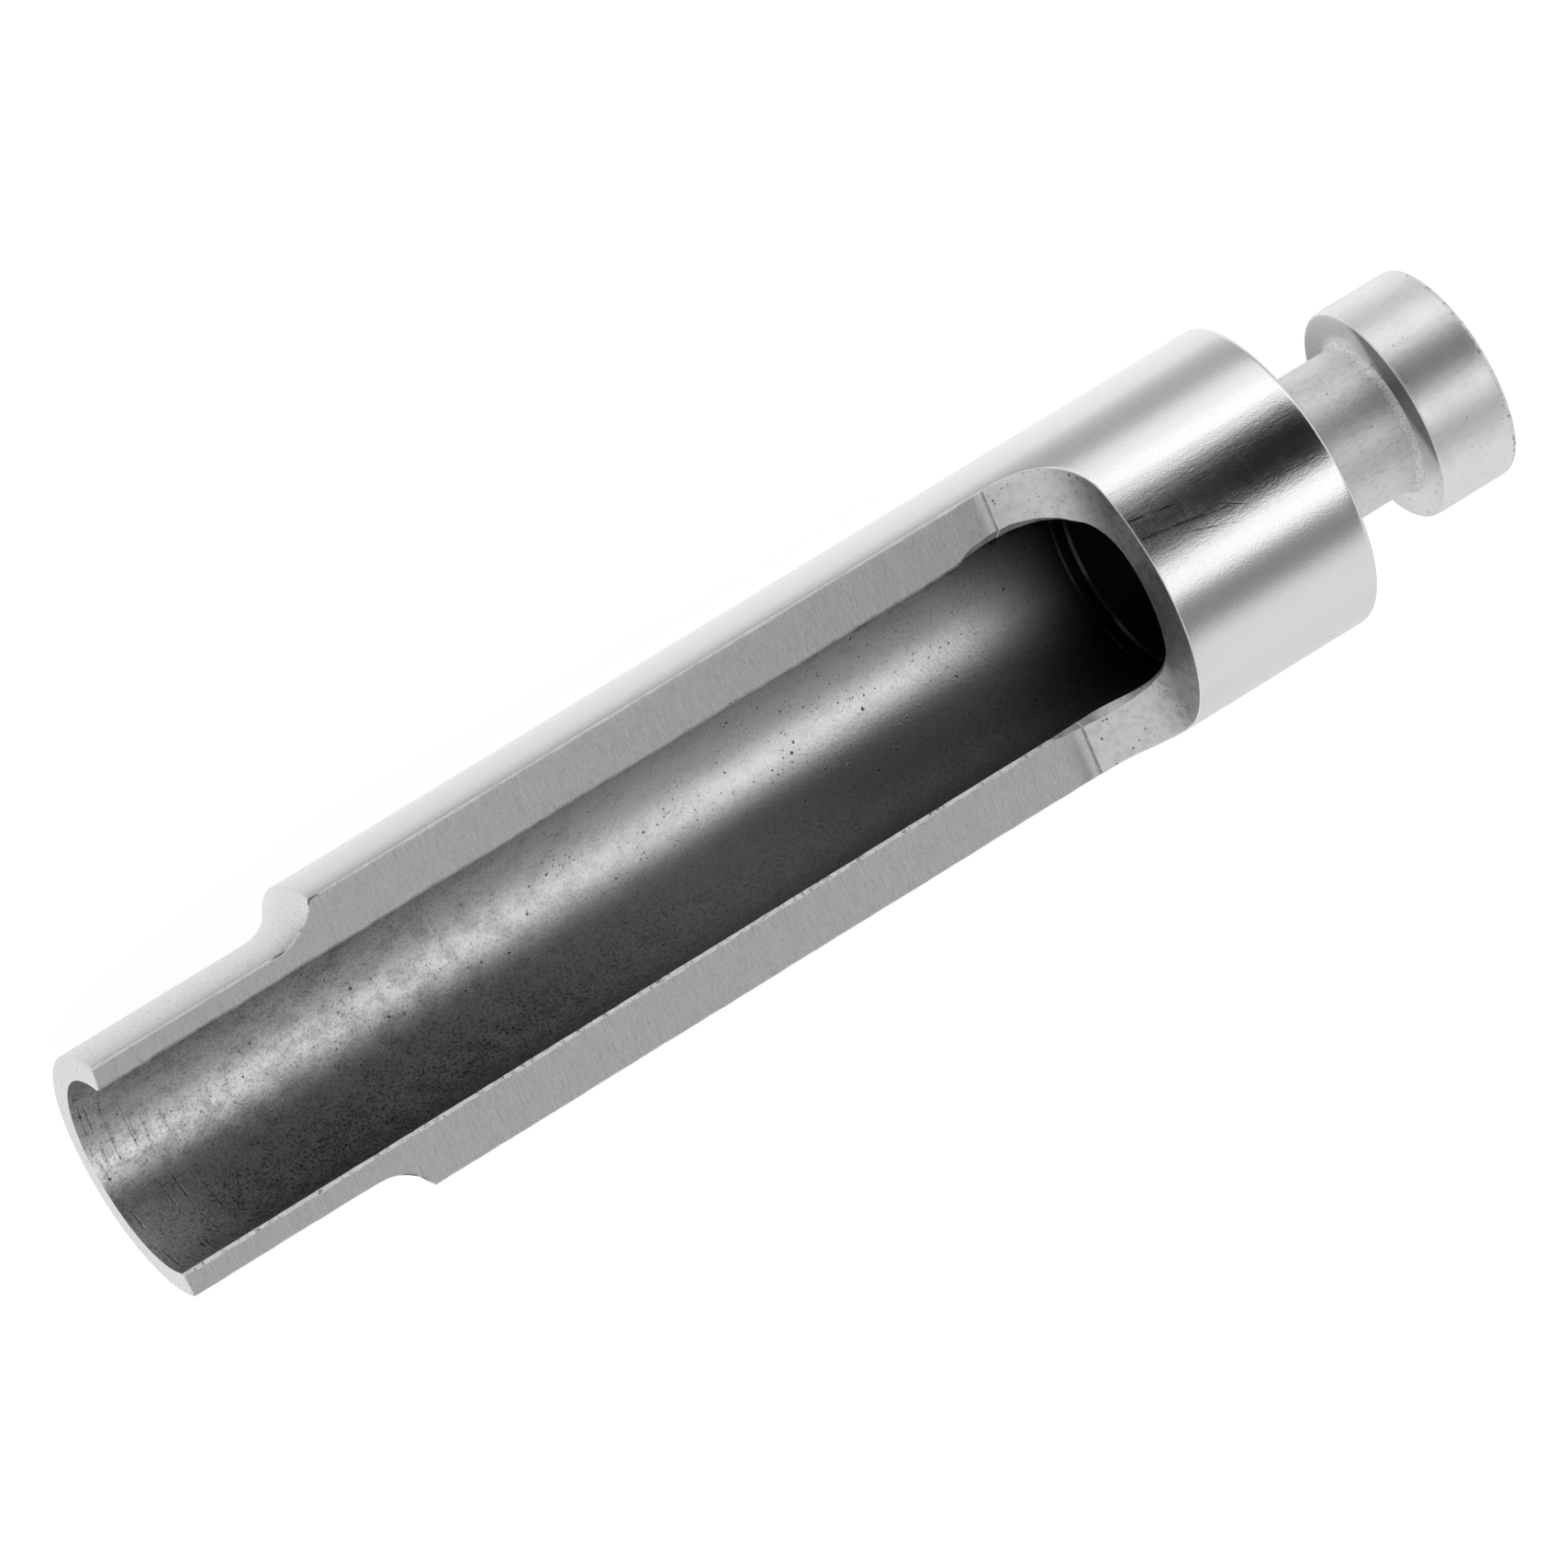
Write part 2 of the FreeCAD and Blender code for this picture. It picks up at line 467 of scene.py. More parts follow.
# Each finish ends on the ring where the next one starts. The shank's takes in nearly
# all of the shoulder's edge, and the head's face takes in the last of the fillet.
shank_end = len(shank_profile) + 5
neck_rows = 1 + len(shank_profile + shoulder_profile + neck_profile)
neck_end = neck_rows - 3
face_end = neck_rows + len(head_face) - 1
rim_end = neck_rows + len(head_face + head_corner + head_rim)
edge_end = rim_end + len(head_edge) - 1
ends = [0, shank_end, neck_end, face_end, rim_end, edge_end, len(rings) - 1]
turned_finish = ["ground_shank", "turned_neck", "faced_head", "turned_head", "broken_edge", "faced_head"]
for start, end, finish in zip(ends, ends[1:], turned_finish):
    add_grid(rings[start:end + 1], finish, closed=True)

left_inner = left_strip[count_tube - 1:count_bore, -1]
right_inner = right_strip[count_tube - 1:count_bore, -1]
bore_border = np.concatenate([inner_arc[count_tube - 1][::-1], right_inner[1:], left_inner[1:-1][::-1]])
drill_radius, drill_x = bore_radius - bore_end_break, bore_end_x - bore_end_break
bore_profile = [(x, bore_radius) for x in np.linspace(window_wall_x - 0.4, bore_end_x, 5)]
bore_profile += [(drill_x - drill_depth * t, drill_radius * (1 - t)) for t in np.linspace(0, 1, 12)]
bore_rings = turned_rings(bore_border, bore_profile)
add_grid(bore_rings, "reamed_bore", closed=True, flip=True)
print("turned", rings.shape, "and bored", bore_rings.shape)

# %% [markdown]
# ## One closed skin
#
# Points that lie on each other are merged, and faces that folded flat in the plane
# of symmetry go. A closed skin has no open edge, and its volume has to be near the
# solid's, so both are printed. Creases sharper than 28 degrees stay sharp.

# %% Put the grids into one closed mesh


def make_skin(name):
    """One mesh object at the origin from the collected grids, doubles merged."""
    points = np.concatenate(all_points) * MM
    faces = np.concatenate(all_faces)
    mesh = bpy.data.meshes.new(name)
    mesh.vertices.add(len(points))
    mesh.vertices.foreach_set("co", points.astype(np.float32).ravel())
    mesh.loops.add(faces.size)
    mesh.loops.foreach_set("vertex_index", faces.astype(np.int32).ravel())
    mesh.polygons.add(len(faces))
    mesh.polygons.foreach_set("loop_start", np.arange(0, faces.size, 4, dtype=np.int32))
    mesh.polygons.foreach_set("material_index", np.concatenate(all_slots).astype(np.int32))
    mesh.update(calc_edges=True)
    work = bmesh.new()
    work.from_mesh(mesh)
    bmesh.ops.remove_doubles(work, verts=work.verts, dist=2e-6)
    bmesh.ops.dissolve_degenerate(work, edges=work.edges, dist=1e-7)
    folded = [face for face in work.faces if max(abs(v.co.y) for v in face.verts) < 1e-7]
    bmesh.ops.delete(work, geom=folded, context="FACES")
    bmesh.ops.recalc_face_normals(work, faces=work.faces)
    open_edges = sum(1 for edge in work.edges if not edge.is_manifold)
    work.to_mesh(mesh)
    volume = work.calc_volume(signed=True)
    work.free()
    mesh.polygons.foreach_set("use_smooth", np.ones(len(mesh.polygons), dtype=bool))
    mesh.set_sharp_from_angle(angle=np.radians(28))
    print(name, len(mesh.polygons), "faces,", open_edges, "open edges, volume mm3", round(volume * 1e9, 1))
    skin = bpy.data.objects.new(name, mesh)
    scene.collection.objects.link(skin)
    return skin


punch = make_skin("punch_skin")
for finish in FINISHES:
    material = bpy.data.materials.new(finish)
    material.use_nodes = True
    punch.data.materials.append(material)
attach(punch, "root")
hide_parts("punch")

# %% [markdown]
# ## Floor, light and camera
#
# Bright metal shows the studio more than itself, so the light is set first. The
# surround is soft panels with dark gaps between them. They run along the punch, so
# they are written as angles about its axis, and turn grey towards its two ends.
# The photograph's ground is cut out to white, but the steel still mirrors the floor
# that was there. So the eye sees a white floor with a faint shadow, and a mirrored
# ray finds a soft grey gradient on it, with a dark line under the punch: a painted
# shadow of the punch on the floor.

# %% Camera from the photograph's angle
photo_pixels = 1708
focal_pixels = 15556.0
camera_place = Vector((226.06, -255.13, 534.85)) * MM
camera_right = Vector((-0.81205, 0.35951, 0.45971))
camera_forward = Vector((-0.30483, 0.41042, -0.85944))

camera_data = bpy.data.cameras.new("camera")
camera = bpy.data.objects.new("camera", camera_data)
scene.collection.objects.link(camera)
camera_up = camera_right.cross(camera_forward).normalized()
facing = Matrix((camera_right, camera_up, -camera_forward)).transposed()
camera.matrix_world = Matrix.Translation(camera_place) @ facing.to_4x4()
camera_data.sensor_width = 36.0
camera_data.lens = focal_pixels / photo_pixels * camera_data.sensor_width
camera_data.clip_start = 0.01
camera_data.clip_end = 50
scene.camera = camera
scene.view_settings.view_transform = "Standard"
print("lens", round(camera_data.lens, 1), "mm, at", [round(v / MM) for v in camera_place])

# %% World: soft panels along the punch


def feed(tree, socket, value):
    """Puts a link or a number into a socket."""
    if isinstance(value, bpy.types.NodeSocket):
        tree.links.new(value, socket)
    else:
        socket.default_value = value


def add_node(tree, kind, values=(), **settings):
    """A new shader node with its settings, and a link or a number for each input named."""
    made = tree.nodes.new("ShaderNode" + kind)
    for key, value in settings.items():
        setattr(made, key, value)
    for key, value in dict(values).items():
        feed(tree, made.inputs[key], value)
    return made


def grey_ramp(tree, share, stops):
    """Colour ramp with a grey value at each stop."""
    ramp = add_node(tree, "ValToRGB", {0: share.outputs[0]})
    ramp.color_ramp.interpolation = "EASE"
    elements = ramp.color_ramp.elements
    while len(elements) < len(stops):
        elements.new(0.5)
    for element, (place, level) in zip(elements, stops):
        element.position = place
        element.color = (level, level, level, 1)
    return ramp.outputs[0]


def show(tree, output, ray_kind, to_others, to_them):
    """Output that shows one shader to rays of one kind, and another to all other rays."""
    kind = add_node(tree, "LightPath").outputs[ray_kind]
    shown = add_node(tree, "MixShader", {0: kind, 1: to_others.outputs[0], 2: to_them.outputs[0]})
    add_node(tree, output, {"Surface": shown.outputs[0]})


# Grey of the panels at each angle in degrees from the open side, towards positive y
panel_stops = [
    (-180, 0.85), (-100, 0.98), (-76, 1.0), (-61, 0.10), (-51, 0.012), (-28, 0.012), (-20, 0.05),
    (-11, 0.97), (6, 1.0), (15, 0.28), (22, 0.20), (30, 0.20), (54, 0.64), (88, 0.65), (100, 0.62),
    (130, 0.7), (180, 0.85),
]
# Sign of x at each end, the grey there, and the share of x where it starts and is full
panel_ends = [(1, 0.45, 0.60, 0.95), (-1, 0.62, 0.75, 0.97)]


def make_world():
    """Surround whose grey depends on the angle about the punch's axis.

    The angle is the arc tangent of y over z, and a ramp gives the grey for it.
    """
    world = bpy.data.worlds.new("surround")
    world.use_nodes = True
    scene.world = world
    tree = world.node_tree
    tree.nodes.clear()
    place = add_node(tree, "TexCoord")
    split = add_node(tree, "SeparateXYZ", {0: place.outputs["Generated"]})
    angle = add_node(tree, "Math", {0: split.outputs["Y"], 1: split.outputs["Z"]}, operation="ARCTAN2")
    share = add_node(tree, "MapRange", {"Value": angle.outputs[0], "From Min": -np.pi, "From Max": np.pi})
    seen = grey_ramp(tree, share, [((degrees + 180) / 360, level) for degrees, level in panel_stops])
    for sign, level, low, high in panel_ends:
        limits = {"Value": split.outputs["X"], "From Min": sign * low, "From Max": sign * high}
        near_end = add_node(tree, "MapRange", limits, interpolation_type="SMOOTHSTEP").outputs[0]
        mixed = add_node(tree, "Mix", {0: near_end, 6: seen, 7: (level, level, level, 1)}, data_type="RGBA")
        seen = mixed.outputs[2]
    studio = add_node(tree, "Background", {"Color": seen, "Strength": 1.2})
    white = add_node(tree, "Background", {"Color": (1, 1, 1, 1)})
    show(tree, "OutputWorld", "Is Camera Ray", studio, white)
    print("surround with", len(panel_stops), "stops")


make_world()

# %% Floor: white to the eye, a painted shadow gradient to the steel

# Painted shadow: grey that the steel sees on the floor, at so many millimetres to the side of the axis
floor_shadow_stops = [
    (-150, 0.97), (-76, 0.97), (-41, 0.79), (-29, 0.48), (-22, 0.43), (-17.5, 0.47), (-14, 0.62),
    (-12, 0.88), (-9.5, 0.92), (-7.4, 0.95), (-5, 0.97), (-3, 0.75), (0, 0.35), (3, 0.75), (6, 0.95),
    (11, 0.82), (15, 0.75), (19, 0.74), (40, 0.74), (150, 0.74),
]


def make_floor():
    """Floor that is shaded for the eye, and a soft grey gradient of painted shadow where the steel mirrors
    it.

    The painted shadow follows y. Past the nose the floor is pale all over.
    """
    half = 6.0
    mesh = bpy.data.meshes.new("floor")
    corners = [(x, y, cad_low.z) for x, y in ((-half, -half), (half, -half), (half, half), (-half, half))]
    mesh.from_pydata(corners, [], [(0, 1, 2, 3)])
    floor = bpy.data.objects.new("floor", mesh)
    scene.collection.objects.link(floor)
    material = bpy.data.materials.new("pale_floor")
    material.use_nodes = True
    tree = material.node_tree
    tree.nodes.clear()
    soft_white = add_node(tree, "BsdfDiffuse", {"Color": (0.42, 0.42, 0.42, 1)})
    glow = add_node(tree, "Emission", {"Strength": 0.83})
    lit = add_node(tree, "AddShader", {0: soft_white.outputs[0], 1: glow.outputs[0]})
    place = add_node(tree, "TexCoord")
    split = add_node(tree, "SeparateXYZ", {0: place.outputs["Object"]})
    first, last = floor_shadow_stops[0][0], floor_shadow_stops[-1][0]
    limits = {"Value": split.outputs["Y"], "From Min": first * MM, "From Max": last * MM}
    share = add_node(tree, "MapRange", limits)
    # Painted shadow of the punch on the floor, seen only in the steel's reflections
    beside = grey_ramp(tree, share, [((y - first) / (last - first), level) for y, level in floor_shadow_stops])
    limits = {"Value": split.outputs["X"], "To Max": 0.95,
              "From Min": (nose_tip_x - 5) * MM, "From Max": (nose_tip_x + 0.3) * MM}
    past_nose = add_node(tree, "MapRange", limits, interpolation_type="SMOOTHSTEP").outputs[0]
    painted_floor_shadow = add_node(tree, "Math", {0: beside, 1: past_nose}, operation="MAXIMUM")
    mirrored = add_node(tree, "Emission", {"Color": painted_floor_shadow.outputs[0]})
    show(tree, "OutputMaterial", "Is Glossy Ray", lit, mirrored)
    mesh.materials.append(material)
    print("floor with", len(floor_shadow_stops), "stops")


make_floor()

# %% [markdown]
# ## Steel, one finish for each machining step
#
# All of it is the same bare steel, so every finish is one metal shader. What
# differs is how rough it is, how dark, and what marks lie on it: rings from
# turning and grinding, cross lines on the ground flats, pits and stains in the
# bore. Every pattern reads the punch's own coordinates in millimetres. Stretching
# them makes marks: a noise that changes fast along the punch and slowly across it
# draws fine lines square to the axis.

# %% Short helpers for shader trees


class Finish:
    """A material of the punch, built up from patterns in its own millimetres."""

    def __init__(self, name):
        self.name = name
        self.tree = bpy.data.materials[name].node_tree
        self.shader = self.tree.nodes["Principled BSDF"]
        self.feed("Metallic", 1.0)
        self.place = self.node("TexCoord").outputs["Object"]

    def node(self, kind, values=(), **settings):
        """A new node in this material."""
        return add_node(self.tree, kind, values, **settings)

    def feed(self, name, value):
        """Puts a link or a number into a socket of the shader."""
        feed(self.tree, self.shader.inputs[name], value)

    def stretched(self, along, across, shift=0.0, turn=0.0):
        """Coordinates with so many units a millimetre along the punch and across it.

        turn slants them by so many degrees, seen from the open side.
        """
        return self.node("Mapping", {
            "Vector": self.place, "Rotation": (0.0, 0.0, np.radians(turn)),
            "Scale": (along / MM, across / MM, across / MM),
            "Location": (shift, shift * 0.7, shift * 1.3)}).outputs[0]

    def noise(self, along, across, detail=2.0, roughness=0.5, shift=0.0, turn=0.0):
        """Noise from 0 to 1, stretched along or across the punch."""
        place = self.stretched(along, across, shift, turn)
        values = {"Vector": place, "Scale": 1.0, "Detail": detail, "Roughness": roughness}
        return self.node("TexNoise", values).outputs["Fac"]

    def math(self, operation, a, b=0.0, c=0.0):
        """One arithmetic step."""
        return self.node("Math", {0: a, 1: b, 2: c}, operation=operation).outputs[0]

    def times(self, *values):
        """Product of all the values."""
        result = values[0]
        for value in values[1:]:
            result = self.math("MULTIPLY", result, value)
        return result

    def total(self, *terms):
        """Sum of weight times value for each pair."""
        result = 0.0
        for weight, value in terms:
            result = self.math("MULTIPLY_ADD", value, weight, result)
        return result

    def ease(self, value, low, high, to_low=0.0, to_high=1.0):
        """Smooth step of a value between two limits."""
        limits = {"Value": value, "From Min": low, "From Max": high, "To Min": to_low, "To Max": to_high}
        return self.node("MapRange", limits, interpolation_type="SMOOTHSTEP").outputs[0]

    def band(self, value, low, high, soft):
        """1 between two limits and 0 outside them, with soft borders."""
        return self.times(self.ease(value, low - soft, low), self.ease(value, high, high + soft, 1.0, 0.0))

    def millimetres(self):
        """The three coordinates in millimetres: along, to the side and up."""
        split = self.node("SeparateXYZ", {0: self.stretched(1.0, 1.0)})
        return split.outputs["X"], split.outputs["Y"], split.outputs["Z"]

    def radius(self):
        """Distance from the axis in millimetres: the root of y squared plus z squared."""
        _, y, z = self.millimetres()
        return self.math("SQRT", self.math("MULTIPLY_ADD", y, y, self.math("MULTIPLY", z, z)))

    def angle(self):
        """Angle round the axis in degrees, from the open side towards positive y."""
        _, y, z = self.millimetres()
        return self.times(self.math("ARCTAN2", y, z), 180 / np.pi)

    def line(self, x, angle, x_from, angle_from, x_to, angle_to, half_width):
        """A scratch on the body, straight in x and angle, thinning out at both ends.

        Its distance is the angle off the line, in radians, times the body's radius.
        """
        slope = (angle_to - angle_from) / (x_to - x_from)
        on_line = self.math("MULTIPLY_ADD", x, slope, angle_from - slope * x_from)
        off_degrees = self.math("ABSOLUTE", self.math("SUBTRACT", angle, on_line))
        off_mm = self.times(off_degrees, np.radians(body_radius))
        near = self.ease(off_mm, 0.3 * half_width, half_width, 1.0, 0.0)
        low, high = sorted((x_from, x_to))
        thin = 0.4
        return self.times(near, self.band(x, low + thin, high - thin, thin))

    def rings_by_radius(self, per_mm):
        """Noise that changes with the radius only, as a facing cut leaves it."""
        joined = self.node("CombineXYZ", {"X": self.times(self.radius(), per_mm)})
        values = {"Vector": joined.outputs[0], "Scale": 1.0, "Detail": 3.0}
        return self.node("TexNoise", values).outputs["Fac"]

    def warped(self, cells, shift):
        """Coordinates pushed about by noise, so that pits aren't round dots."""
        finer = self.stretched(cells * 2.5, cells * 2.5, shift)
        push = self.node("TexNoise", {"Vector": finer, "Scale": 1.0}).outputs["Color"]
        values = {0: push, 1: (0.35, 0.35, 0.35), 2: self.stretched(cells, cells, shift)}
        return self.node("VectorMath", values, operation="MULTIPLY_ADD").outputs[0]

    def pits(self, cells, size, share, shift=0.0):
        """Small pits: one in each noise cell whose random number falls in the share."""
        made = self.node("TexVoronoi", {"Vector": self.warped(cells, shift), "Scale": 1.0})
        chosen = self.node("SeparateColor", {0: made.outputs["Color"]})
        keep = self.math("LESS_THAN", chosen.outputs[0], share)
        radius = self.math("MULTIPLY_ADD", chosen.outputs[1], size, 0.35 * size)
        inside = self.math("SUBTRACT", 1.0, self.math("DIVIDE", made.outputs["Distance"], radius))
        return self.times(self.ease(inside, 0.0, 0.45), keep)

    def along_rings(self, anisotropy):
        """Blurs the reflections square to rings about the axis."""
        self.feed("Anisotropic", anisotropy)
        self.feed("Anisotropic Rotation", 0.25)
        self.feed("Tangent", self.node("Tangent", direction_type="RADIAL", axis="X").outputs[0])

    def colour(self, first, *tones):
        """Base colour: the first tone, and each later one laid over it by its own mask."""
        result = (*first, 1)
        for tone, mask in tones:
            mixed = self.node("Mix", {0: mask, 6: result, 7: (*tone, 1)}, data_type="RGBA")
            result = mixed.outputs[2]
        self.feed("Base Color", result)

    def roughness(self, value):
        """Roughness from a pattern."""
        self.feed("Roughness", value)

    def relief(self, height, microns):
        """Bump from a pattern of the given height, the last step of every finish."""
        bump = self.node("Bump", {"Height": height, "Strength": 1.0, "Distance": microns * 1e-6})
        self.feed("Normal", bump.outputs[0])
        print(self.name, "with", len(self.tree.nodes), "shader nodes")


def steel(level):
    """Grey of bare steel, with a trace of warmth."""
    return (level, level, level - 0.005)


def grey(level):
    """Neutral grey, for stains and dirt, and for painted shade."""
    return (level, level, level)


# Grey for real stains, and for painted shade in corners and up the end wall
STAIN_AND_SHADE = grey(0.10)

# %% [markdown]
# The shank is cylindrically ground: mirror-like, with rings so fine that they only
# fray the edges of the reflections. On top, beside the window, it is scuffed along
# a slant, with a few scratches. The step and the nose are duller and speckled.

# %% Ground shank
shank = Finish("ground_shank")
x_shank = shank.millimetres()[0]
around = shank.angle()
fine_rings = shank.noise(16.0, 1.2, 3.0)
ring_bands = shank.noise(2.6, 0.25, shift=3.0)
grain = shank.noise(11.0, 11.0, 3.0, roughness=0.6, shift=9.0)
haze = shank.noise(0.5, 2.6, 4.0, roughness=0.6, shift=5.0, turn=9.0)
slanted = shank.noise(1.1, 5.0, 4.0, roughness=0.65, shift=11.0, turn=14.0)

# Each scratch: station and angle of its start, then of its end, and half its width
SCRATCHES = [
    (19.6, -38.6, 16.8, -35.0, 0.07), (19.3, -31.0, 15.9, -27.2, 0.065), (17.0, -24.9, 14.7, -18.9, 0.04),
    (15.4, -28.9, 13.9, -22.0, 0.035), (17.6, -29.0, 14.6, -24.8, 0.035), (13.2, 46.0, 11.4, 52.0, 0.02),
]
scratches = 0.0
for scratch in SCRATCHES:
    scratches = shank.math("MAXIMUM", scratches, shank.line(x_shank, around, *scratch))
broken_up = shank.ease(shank.noise(1.2, 1.2, 3.0, shift=2.0), 0.38, 0.52, 0.25, 1.0)
scratches = shank.times(scratches, broken_up)

duller = shank.total((0.07, shank.ease(x_shank, 16.0, 24.0)), (0.10, shank.ease(x_shank, 26.0, 60.0)))
worn_end = shank.ease(x_shank, 57.5, 60.0)
speckle = shank.times(worn_end, shank.ease(grain, 0.48, 0.72))
on_top = shank.times(shank.band(around, -40.0, -24.0, 20.0), shank.ease(x_shank, 22.0, 20.0))
rubbed = shank.times(shank.ease(x_shank, 11.0, 19.5), on_top, shank.total((0.9, slanted), (0.5, 1.0)))
scuffs = shank.times(slanted, shank.total((1.0, on_top), (0.15, 1.0)))
stained = shank.total((1.0, duller), (0.22, speckle), (0.07, shank.ease(grain, 0.45, 0.75)))
shank.colour(steel(0.87), (STAIN_AND_SHADE, stained), (grey(0.06), shank.times(scratches, 0.8)))
shank.roughness(shank.total(
    (0.10, fine_rings), (0.04, ring_bands), (0.07, haze), (0.12, worn_end), (0.10, rubbed), (0.065, 1.0)))
shank.relief(shank.total(
    (1.0, fine_rings), (1.8, grain), (0.25, haze), (1.8, scuffs), (-0.3, scratches)), 3.0)

# %% [markdown]
# The flats are surface-ground across the lips. The wheel leaves straight lines a
# few hundredths of a millimetre apart, which scatter light into an even grey. Where
# the wheel stopped, a shallow dip catches light, and a brighter strip is painted there
# as a painted highlight. It ends at a thin dark line: the edge of its step.

# %% Ground flats
flats = Finish("ground_flat")
x_flat, y_flat, _ = flats.millimetres()
cross_lines = flats.noise(24.0, 0.9, 4.0, roughness=0.6)
cross_bands = flats.noise(2.2, 0.12, shift=2.0)
fleck = flats.noise(11.0, 7.0, 3.0, roughness=0.6, shift=4.0)
left_tone = flats.times(flats.ease(y_flat, -1.0, 1.0, 1.0, 0.0), flats.ease(x_flat, 24.0, 60.0, 0.22, 0.06))
line_mask = flats.total(
    (0.40, flats.ease(cross_lines, 0.35, 0.7)), (0.35, flats.ease(fleck, 0.45, 0.75)),
    (0.2, cross_bands), (1.0, left_tone))
witness_x = ground_end_x + 0.02
witness_slant = 0.007
flat_line_x = flats.total((witness_slant, y_flat), (1.0, x_flat))
# Painted highlight: a brighter strip before the witness line, where a shallow dip catches light
painted_dip_highlight = flats.times(
    flats.ease(flat_line_x, witness_x + 0.20, witness_x + 0.62, 1.0, 0.0),
    flats.ease(fleck, 0.35, 0.60, 0.45, 0.8))
witness_flat = flats.times(
    flats.band(flat_line_x, witness_x - 0.20, witness_x + 0.05, 0.05),
    flats.ease(fleck, 0.35, 0.60, 0.25, 0.55))
wheel_edge = flats.times(flats.ease(x_flat, 23.3, 24.3, 0.42, 0.0), flats.ease(y_flat, 4.5, 6.3))
flats.colour(
    steel(0.80), (grey(0.45), line_mask), (grey(0.25), wheel_edge), (steel(0.99), painted_dip_highlight),
    (grey(0.07), witness_flat))
flats.roughness(flats.total((0.16, cross_lines), (0.38, 1.0)))
flats.relief(flats.total((0.9, cross_lines), (0.6, fleck)), 7.0)

# %% [markdown]
# The run-out keeps the milled skin that the grinding wheel doesn't reach. Its
# shallow part is matt and pale, clouded, with small torn pits in patches. Up the end
# wall, where the cutter's side cut, it is smoother, and darker as painted shade, more
# so on the side with negative y.

# %% Milled run-out
cut = Finish("milled_runout")
x_cut, y_cut, z_cut = cut.millimetres()
cutter_lines = cut.noise(7.0, 1.0, 3.0, shift=1.0)
cut_grain = cut.noise(12.0, 12.0, 3.0, roughness=0.65, shift=6.0)
cut_cloud = cut.noise(2.2, 2.2, 4.0, roughness=0.6, shift=4.0)
pit_patches = cut.ease(cut.noise(0.8, 0.8, 1.0, shift=3.0), 0.42, 0.60)
cut_pits = cut.times(cut.pits(5.5, 0.34, 0.30, shift=2.0), pit_patches)
up_the_wall = cut.ease(z_cut, 1.4, 4.5)
left_wall_shade = cut.times(cut.ease(y_cut, -3.5, 3.5, 1.0, 0.0), up_the_wall)
line_x = cut.total((witness_slant, y_cut), (0.05, cut_grain), (1.0, x_cut))
witness = cut.times(
    cut.band(line_x, witness_x, witness_x + 0.20, 0.05),
    cut.ease(cut_grain, 0.35, 0.55, 0.25, 0.65))
# Painted shade up the end wall, more on the side with negative y, mixed with real grain and clouds
wall_shade_and_stain = cut.total(
    (0.60, up_the_wall), (0.12, left_wall_shade), (0.08, cut_grain),
    (0.16, cut.ease(cut_cloud, 0.42, 0.72)))
pit_dirt = cut.times(cut_pits, 0.85)
cut.colour(steel(0.98), (STAIN_AND_SHADE, wall_shade_and_stain), (grey(0.04), pit_dirt), (grey(0.07), witness))
cut.roughness(cut.total((0.12, cutter_lines), (0.10, cut_grain), (-0.08, up_the_wall), (0.42, 1.0)))
cut.relief(cut.total(
    (0.5, cutter_lines), (0.8, cut_grain), (1.2, cut_cloud), (-1.2, cut_pits)), 7.0)

# %% [markdown]
# Broken edges are stoned. They are narrow and catch the light, with nicks. At the
# run-out both inner edges were opened by hand: the one on the side with positive y
# is fresh and bright, the other is smooth. Dirt sits on the outer edge at the step.

# %% Broken edges
edge = Finish("broken_edge")
x_edge, y_edge, _ = edge.millimetres()
nicks = edge.noise(3.5, 3.5, 4.0, roughness=0.7)
fine_nicks = edge.ease(edge.noise(9.0, 9.0, 3.0, roughness=0.7, shift=5.0), 0.56, 0.72)
outside = edge.ease(edge.radius(), bore_radius + 0.5, bore_radius + 0.9)
at_step = edge.times(edge.band(x_edge, step_corner_x - 0.3, step_foot_x, 0.4), outside)
step_spots = edge.ease(edge.noise(1.5, 1.5, 3.0, shift=8.0), 0.46, 0.60)
wedge = edge.times(edge.band(x_edge, 21.7, 25.3, 0.7), edge.ease(y_edge, -4.4, -4.7))
fresh = edge.times(edge.band(x_edge, 20.9, 23.0, 0.7), edge.ease(y_edge, 3.6, 4.2))
nicked = edge.total((-0.9, fresh), (-0.8, wedge), (-0.4, outside), (1.0, 1.0))
bright = edge.math("MAXIMUM", edge.math("MAXIMUM", fresh, wedge), edge.times(outside, 0.7))
edge.colour(
    grey(0.84), (grey(0.22), edge.times(edge.ease(nicks, 0.52, 0.70), nicked)), (steel(0.99), bright),
    (grey(0.12), edge.times(fine_nicks, edge.total((-0.45, wedge), (0.55, 1.0)))),
    (grey(0.10), edge.times(at_step, step_spots, 0.8)))
edge.roughness(edge.total((0.35, nicks), (0.12, fresh), (0.24, 1.0)))
edge.relief(nicks, 14.0)

# %% [markdown]
# The bore is reamed and then hardened. It is darker than the outside, specked and
# pitted by scale, and clouded towards the nose and beside the run-out. Away from the
# bottom strip its walls are darker, less so near the nose: painted shade. Towards the
# blind end it is painted almost black as painted shade deep in the hole, with two
# faint rings where the reamer stopped. Near the nose its rings show.

# %% Reamed bore
bore = Finish("reamed_bore")
x_bore, y_bore, _ = bore.millimetres()
blotch = bore.noise(0.9, 1.1, 5.0, roughness=0.66, shift=1.0)
grit = bore.noise(8.0, 8.0, 5.0, roughness=0.75, shift=3.0)
specks = bore.ease(grit, 0.42, 0.74)
pit_zone = bore.ease(bore.noise(0.5, 0.5, shift=7.0), 0.35, 0.65)
small_pits = bore.times(bore.pits(7.0, 0.34, 0.20, shift=1.0), pit_zone)
large_pits = bore.pits(3.1, 0.22, 0.10, shift=5.0)

